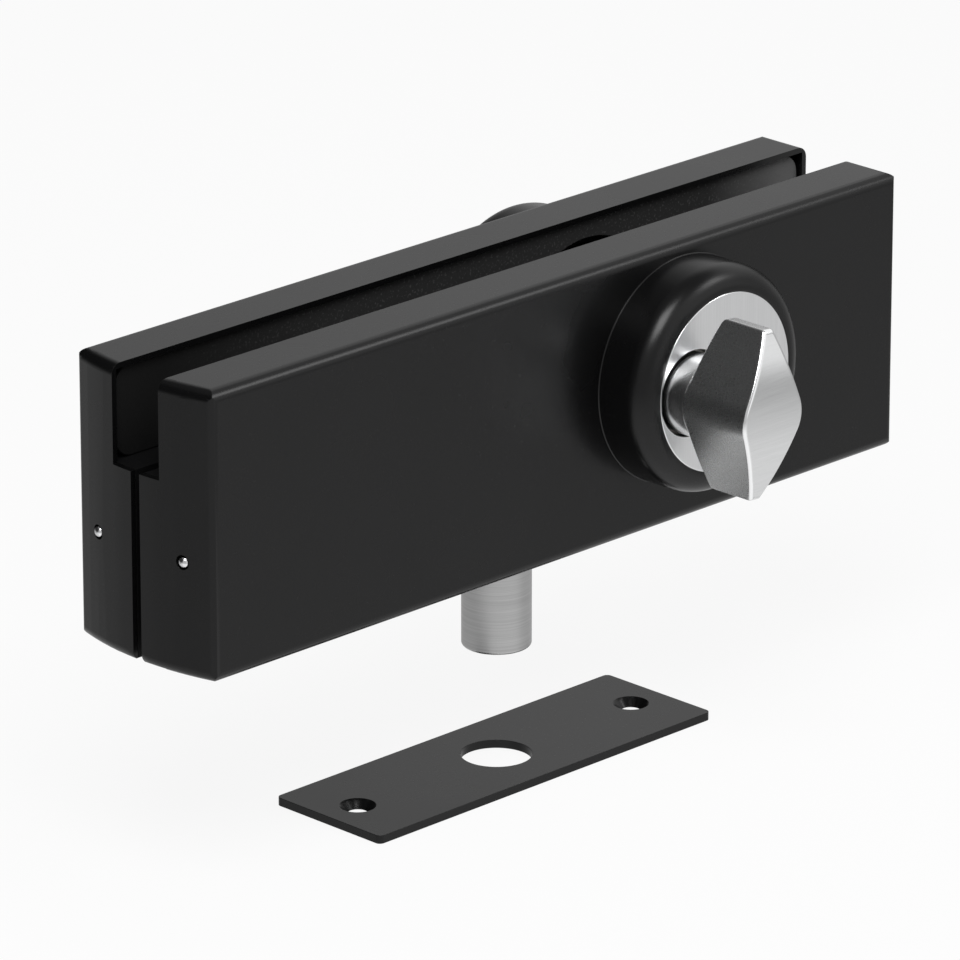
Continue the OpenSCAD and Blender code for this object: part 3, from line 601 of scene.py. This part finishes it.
# the disc's walls, the hole's among them, take the near-black casting finish: painted shade in the
# gap
for node, side in [("front_disc", -1), ("back_disc", 1)]:
    disc = sheet_mesh(node + "_brushed", disc_grid(side), True, True)
    settle(by_normal(disc, "satin_steel", "steel_edge", "clamp_casting"), node)

# %% [markdown]
# ## Bolt
# The bolt is a plain round bar with a broken end, and its stem stands inside the carriage. The
# solid would do from afar, but its rim is sharp. One turned profile gives a rounded rim and an
# even sheen, and its upper sizes are read from the solids, so that it meets the carriage.

# %% Bolt
BOLT_BREAK, SHOULDER_PLAY = 0.5, 0.1
bolt_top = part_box("bolt")[1].z / MM
shoulder_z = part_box("bolt_carriage")[0].z / MM - SHOULDER_PLAY
bolt_profile = np.concatenate([
    [[0.0, BOLT_END], [BOLT_R / 2, BOLT_END]],
    arc((BOLT_R - BOLT_BREAK, BOLT_END + BOLT_BREAK), BOLT_BREAK, -90, 0, 8),
    [[BOLT_R, shoulder_z], [STEM_R, shoulder_z], [STEM_R, bolt_top], [0.0, bolt_top]],
])
bolt = sheet_mesh("bolt_turned", turn_z(bolt_profile, (0, 0)), True)
settle(bolt, "bolt", finish["steel_turned"])

# %% [markdown]
# ## Thumbturn
# A thumbturn is cast or milled from one piece: a round neck that carries a blade for two
# fingers. Seen from the front, the blade is the circle of the neck with straight flanks that
# run to two narrow tips. Its front is crowned like a slice of a drum, and its back slants away
# from the neck. Sculpting or booleans would leave lumps in its highlights. So one closed
# outline carries the whole shape: the rows of the grid run from the middle line of the back,
# round the edge, to the middle line of the front.

# %% Outline of the blade
TIP_PLAY = 0.06  # part of the flat tip that is left to its corner circles
CROWDING, LEAST = 1.2, 0.004  # points crowd towards the tip, the first one at this share
FADE = 0.12  # share of the flank along which the broken back edge fades out


def blade_outline(per_tip=10, per_flank=36, per_neck=26):
    """Closed outline in the plane of x and z, its outward normals, and where its back edge is
    broken. The flank touches the circle of the neck and the corner circle of the tip: with the
    angle q between its normal and the line to the corner, cos q = (neck - tip) / distance.
    Only half the outline is worked out, since the other half is the same one turned about."""
    a, h = TIP_W / 2 - TIP_R, BLADE_HALF - TIP_R
    lean = math.atan2(h, -a) + math.acos((NECK_R - TIP_R) / math.hypot(a, h))

    def bend(centre, radius, start, stop, steps):
        t = np.linspace(start, stop, steps)
        ray = np.stack([np.cos(t), np.sin(t)], axis=1)
        return np.array(centre) + radius * ray, ray

    right, right_ray = bend((a, h), TIP_R, math.pi - lean, math.pi / 2, per_tip)
    left, left_ray = bend((-a, h), TIP_R, math.pi / 2, lean, per_tip)
    side, side_ray = bend((0, 0), NECK_R, lean, 2 * math.pi - lean, per_neck)
    level_x = np.linspace(a - TIP_PLAY, TIP_PLAY - a, 3)
    level = np.stack([level_x, np.full(3, BLADE_HALF)], axis=1)
    t = np.linspace(0, 1, per_flank + 2)[1:-1, None]
    t = LEAST + (1 - 2 * LEAST) * t ** CROWDING
    down = left[-1] + (side[0] - left[-1]) * t
    foot = -right[0] + (side[-1] + right[0]) * t[::-1]
    points = np.concatenate([right, level, left, down, side, foot])
    normals = np.concatenate([right_ray, np.tile([0.0, 1.0], (3, 1)), left_ray,
                              np.tile(left_ray[-1], (per_flank, 1)), side_ray,
                              np.tile(-right_ray[0], (per_flank, 1))])
    broken = np.clip((1 - t[:, 0]) / FADE, 0, 1)
    edge = np.concatenate([np.ones(2 * per_tip + 3), broken, np.zeros(per_neck), broken[::-1]])
    both_halves = [np.concatenate([half, -half]) for half in (points, normals)]
    return *both_halves, np.tile(edge, 2)


outline, outward, broken_back = blade_outline()
print(len(outline), "points, width", round(float(np.ptp(outline[:, 0])), 2), "mm")

# %% Front and back of the blade
def crown(z):
    """Distance of the crowned front from the mid plane: a circle of radius CROWN_R."""
    return FACE_Y + BLADE_OUT - CROWN_R + np.sqrt(CROWN_R ** 2 - z ** 2)


def back(z):
    """Distance of the crowned back from the mid plane: a circle of radius BACK_R, and where a
    circle of radius HEEL_R touches it, that one up to the end of the blade."""
    z, reach = np.abs(z), BACK_R - HEEL_R
    heel_z = BLADE_HALF + HEEL_LIFT - HEEL_R
    heel_y = BACK_R - math.sqrt(reach ** 2 - heel_z ** 2)
    broad = BACK_R - np.sqrt(BACK_R ** 2 - z ** 2)
    heel = heel_y - np.sqrt(np.maximum(HEEL_R ** 2 - (z - heel_z) ** 2, 0))
    return FACE_Y + BLADE_ROOT + np.where(z > heel_z * BACK_R / reach, heel, broad)


tip_thickness = crown(BLADE_HALF) - back(BLADE_HALF)
print("blade is", round(float(tip_thickness), 2), "mm deep at its tips")

# %% [markdown]
# Both edges of the blade are rounded, the front one more. A bevel modifier would do that, but
# its faces are not in line with the grid, and a polished edge shows it. So the quarter circles
# are rows of the same grid.

# %% Surface of the blade
SHARES = (0.0, 0.4, 0.8, 1.0)


def blade_grid(front_edge=0.6, back_edge=0.3, hold=0.08):
    """Rows across the blade, from the middle of the back to the middle of the front. In each:
    the share of the outline's half width, the inset from it and the drop below the face, both
    in edge radii, 1 on the front, and a further hold in inset and in drop. Both edges are
    quarter circles. A hold row just past each of them keeps the flank and the faces plain."""
    t = np.linspace(0, np.pi / 2, 9)
    s, c = 1 - np.sin(t), 1 - np.cos(t)
    rows = [(share, 1.0, 0.0, 0.0, hold, 0.0) for share in SHARES]
    rows += [(1.0, i, d, 0.0, 0.0, 0.0) for i, d in zip(s[::2], c[::2])]
    rows += [(1.0, 0.0, 1.0, 0.0, 0.0, hold), (1.0, 0.0, 1.0, 1.0, 0.0, hold)]
    rows += [(1.0, i, d, 1.0, 0.0, 0.0) for i, d in zip(c, s)]
    rows += [(share, 1.0, 0.0, 1.0, hold, 0.0) for share in SHARES[::-1]]
    k = np.array(rows)[None, :, :]
    front = k[..., 3] > 0.5
    radius = np.where(front, front_edge, back_edge * broken_back[:, None])
    inset, drop = k[..., 1] * radius + k[..., 4], k[..., 2] * radius + k[..., 5]
    edge = outline[:, None, :] - outward[:, None, :] * inset[..., None]
    x, z = edge[..., 0] * k[..., 0], edge[..., 1]
    y = np.where(front, crown(z) - drop, back(z) + drop)
    return np.stack([x, -y, z], axis=-1)


def tilted(points):
    """The blade turned by its tilt about the axis of the cylinder, as a thumbturn stands:
    x' = x cos q + z sin q and z' = z cos q - x sin q, from the axis."""
    q = math.radians(BLADE_TILT)
    x, y, z = points[..., 0], points[..., 1], points[..., 2]
    return np.stack([CYL_X + x * math.cos(q) + z * math.sin(q), y,
                     CYL_Z - x * math.sin(q) + z * math.cos(q)], axis=-1)


blade = sheet_mesh("blade", tilted(blade_grid()), True)
print("blade:", len(blade.data.polygons), "faces")

# %% [markdown]
# The neck is turned, with a shallow undercut where it goes into the disc. It draws the dark
# ring round the neck. The neck ends inside the blade, so the two need no boolean: from outside
# they look like one piece.

# %% Neck
UNDERCUT, CHAMFER = 0.12, 0.4
NECK_START, NECK_STOP = FACE_Y - 2.2, FACE_Y + 7.4
root_y = FACE_Y + BLADE_ROOT + 0.02
neck_profile = np.array([
    [0.0, NECK_START], [NECK_R - CHAMFER, NECK_START],
    [NECK_R - UNDERCUT, FACE_Y - 1.9], [NECK_R - UNDERCUT, FACE_Y + 0.06],
    [NECK_R - UNDERCUT / 3, FACE_Y + 0.16], [NECK_R, FACE_Y + 0.3], [NECK_R, root_y],
    [NECK_R - 0.02, root_y + 0.02], [NECK_R - 0.02, NECK_STOP], [0.0, NECK_STOP],
])
neck = sheet_mesh("neck", turn_y(neck_profile, (CYL_X, CYL_Z), -1, 128), True)
print("neck:", len(neck.data.polygons), "faces")

# %% [markdown]
# A thumbturn is finished face by face: its front is brushed across the blade, its broken edge
# is polished, its flanks are blasted, and its neck is only lightly so. Four objects could carry
# that, but it is one piece of metal. So one object has four finishes. The first three are told
# apart as on the disc, and the neck by its place behind the blade.

# %% Join and finish the thumbturn
def join(name, parts):
    """One object from several that stand in place."""
    bm = bmesh.new()
    for part in parts:
        bm.from_mesh(part.data)
        bpy.data.objects.remove(part)
    data = bpy.data.meshes.new(name)
    bm.to_mesh(data)
    bm.free()
    smooth(data, GRID_EDGE_ANGLE)
    return in_scene(name, data)


thumb = join("thumbturn_blade", [blade, neck])
by_normal(thumb, "steel_x", "steel_edge", "steel_flank")
thumb.data.materials.append(finish["steel_neck"])
for face in thumb.data.polygons:
    if -face.center.y < root_y * MM:
        face.material_index = 3
settle(thumb, "thumbturn")

# %% [markdown]
# ## Cylinder and smaller pieces
# The plug with its keyway, the housing, the bolt's guide, the case under the bolt and the balls
# in the ends of the covers are small in the picture. Finer surfaces would not be seen on them,
# so they stay as CAD made them: twins with a fine bevel, and the round balls without one.

# %% Dress the smaller metal pieces
FINE_EDGE = 0.06
for name in ["key_plug", "cylinder_body", "turn_grub_screw", "bolt_guide", "lock_case"]:
    twin(name, finish[slot_of_node[name]], FINE_EDGE)
twin("cover_catches", finish["steel_ball"], 0)

# %% [markdown]
# ## Floor
# The lock hangs where the glass would hold it, over its strike plate on a pale floor. A white
# floor under strong light would also brighten the black coat from below. So the camera's rays
# meet plain white instead, with a tenth of the real shade, which keeps the soft shadow. Rays
# that metal mirrors go through the floor to the studio, whose pale ground they show.

# %% Floor
FLOOR_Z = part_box("strike_plate")[0].z - 0.05 * MM
FLOOR_SIZE = 6.0  # metres
WHITE_SHARE = 0.9


def pale_floor():
    """White for the camera with some of the real shade left in, and open to mirrored rays."""
    r = Recipe("floor_pale")
    cloud = r.noise(r.place(), 3, 2.0)
    base = r.blend(cloud, tone(0.90), tone(0.93))
    r.set(Base_Color=base, Roughness=0.9, Specular_IOR_Level=0.0)
    camera_ray, mirrored = r.rays()
    shade = Wire(r, r.shader.outputs[0])
    white = r.node("ShaderNodeEmission", None, {"Strength": 1.0})
    open_floor = r.node("ShaderNodeBsdfTransparent")
    seen = r.node("ShaderNodeMixShader", None, {0: camera_ray * WHITE_SHARE, 1: shade, 2: white})
    out = r.node("ShaderNodeMixShader", None, {0: mirrored, 1: seen, 2: open_floor})
    r.tree.links.new(out.socket, r.tree.nodes["Material Output"].inputs["Surface"])
    return r.material


def floor_mesh():
    """A large square just below the strike plate."""
    s = np.array([[-1, -1], [1, -1], [1, 1], [-1, 1]]) * FLOOR_SIZE / 2
    points = np.concatenate([s, np.full((4, 1), FLOOR_Z)], axis=1)
    data = bpy.data.meshes.new("floor")
    data.from_pydata(points.tolist(), [], [[0, 1, 2, 3]])
    obj = in_scene("floor", data)
    coat(obj, pale_floor())


floor_mesh()
print("floor at", round(FLOOR_Z / MM, 2), "mm")

# %% [markdown]
# ## Studio
# A product photographer builds a small room of white, grey and black boards, because polished
# metal shows whatever stands round it. Real boards would need as many objects and lamps, and
# they would show from other sides. So the world's strength plays the room, for mirrored rays
# alone. Its walls are white, but for a grey one at the left end and a darker one behind. Black
# cloth hangs between those two and draws the flanks of bright metal. The right end has a dusky
# doorway, the ceiling is dim, and the ground is palest right below the lock. Every tone follows
# from its direction alone, so each flat face stays even.

# %% World
scene = bpy.context.scene
world = bpy.data.worlds.new("studio")
scene.world = world


def studio(r, plain=0.45):
    """Strength of the world: 1 for the camera, the room for mirrored rays, and for the rest an
    even plain level outside the black cloth. A wall's tone is a span of the dot product of the
    ray and the wall's direction. Below the horizon the ground rises from 0.47 to 1."""
    camera_ray, mirrored = r.rays()
    way = r.node("ShaderNodeTexCoord")
    height = r.beside(r.node("ShaderNodeSeparateXYZ", None, {0: way}), "Z")
    flat = r.node("ShaderNodeVectorMath", {"operation": "MULTIPLY"}, {0: way, 1: (1, 1, 0)})
    flat = r.node("ShaderNodeVectorMath", {"operation": "NORMALIZE"}, {0: flat})

    def facing(azimuth):
        there = (math.cos(math.radians(azimuth)), math.sin(math.radians(azimuth)), 0)
        return r.node("ShaderNodeVectorMath", {"operation": "DOT_PRODUCT"}, {0: flat, 1: there}, 1)

    left = r.span(facing(-175), 0.15, 0.45, 1.0, 0.52)
    rear = r.span(facing(80), 0.70, 0.95, 1.0, 0.3)
    cloth = r.span(facing(128), 0.5, 0.62, 1.0, 0.08)
    doorway = r.span(facing(0), 0.72, 0.86, 0.0, 0.5) * r.span(height, 0.25, 0.5, 1.0, 0.0)
    overhead = r.span(height, 0.70, 0.84, 0.0, 1.0)
    walls = left * rear * cloth * (1.0 - doorway) * (1.0 - overhead) + 0.22 * overhead
    ground = r.span(height, -0.5, -0.1, 1.0, 0.47) * r.span(facing(-125), 0.1, 0.5, 0.78, 1.0)
    ground = ground * (cloth * 0.14 + 0.86)
    above = r.span(height, -0.12, 0.0, 0.0, 1.0)
    room = walls * above + ground * (1.0 - above)
    indoors = mirrored * room + (1.0 - mirrored) * cloth * plain
    r.set(Color=tone(1.0), Strength=camera_ray + (1.0 - camera_ray) * indoors)


studio(Recipe("studio", world))
scene.view_settings.view_transform = "Standard"
print("world has", len(world.node_tree.nodes), "nodes")

# %% [markdown]
# ## Lamps
# Two softboxes draw the sheens on the black coat: the key stands high over the camera, and a
# weaker one to its right lifts the front of the covers. Point or sun lamps would leave hard
# spots and shadows. Area lamps show as the soft rectangles that photographers use.

# %% Lamps
def softbox(name, azimuth, elevation, width, height, watts, distance=1.2):
    """A rectangular lamp that looks at the lock from an azimuth and elevation in degrees. Its
    brightness is watts / (pi * width * height), so a larger one is softer, not stronger."""
    a, e = math.radians(azimuth), math.radians(elevation)
    place = Vector((math.cos(a) * math.cos(e), math.sin(a) * math.cos(e), math.sin(e))) * distance
    light = bpy.data.lights.new(name, "AREA")
    light.shape = "RECTANGLE"
    light.size, light.size_y = width, height
    light.energy = watts
    obj = in_scene(name, light)
    obj.location = place
    obj.rotation_mode = "QUATERNION"
    obj.rotation_quaternion = (-place).to_track_quat("-Z", "Y")
    print(name, "stands at", [round(c, 2) for c in place])


softbox("key", azimuth=-136, elevation=54, width=0.58, height=0.62, watts=9.0)
softbox("front", azimuth=-45, elevation=37, width=0.40, height=0.34, watts=1.8)

# %% [markdown]
# ## Camera
# The camera's place was worked out from the straight edges and round outlines of a photo of
# such a lock, so that the render can be laid over it. A camera set by eye would be off by a few
# degrees, which shows at once in the circles. It is a long lens, from 45 degrees left of the
# front and 20 degrees above.

# %% Camera
def photo_camera(azimuth=-45.0, elevation=20.0, distance=1380.0, across=-2.793, up_shift=9.9124,
                 focal_px=8168.261, frame_px=960, sensor=36, ground=33.0):
    """The fitted camera, in millimetres above the underside of the lock. It stands at a
    distance behind the picture plane, and shifted right and above along it. The focal length
    is that in pixels, times the sensor's width over the picture's."""
    a, e = math.radians(azimuth), math.radians(elevation)
    behind = Vector((math.sin(a) * math.cos(e), -math.cos(a) * math.cos(e), math.sin(e)))
    right = Vector((math.cos(a), math.sin(a), 0))
    above = behind.cross(right)
    place = behind * distance + right * across + above * up_shift - Vector((0, 0, ground))
    camera = in_scene("camera", bpy.data.cameras.new("camera"))
    camera.data.sensor_width = sensor
    camera.data.lens = focal_px / frame_px * sensor
    camera.location = place * MM
    camera.rotation_mode = "QUATERNION"
    camera.rotation_quaternion = Matrix((right, above, behind)).transposed().to_quaternion()
    camera.data.clip_start, camera.data.clip_end = 0.01, 20
    scene.camera = camera
    return camera


camera = photo_camera()
print("lens", round(camera.data.lens, 2), "mm")
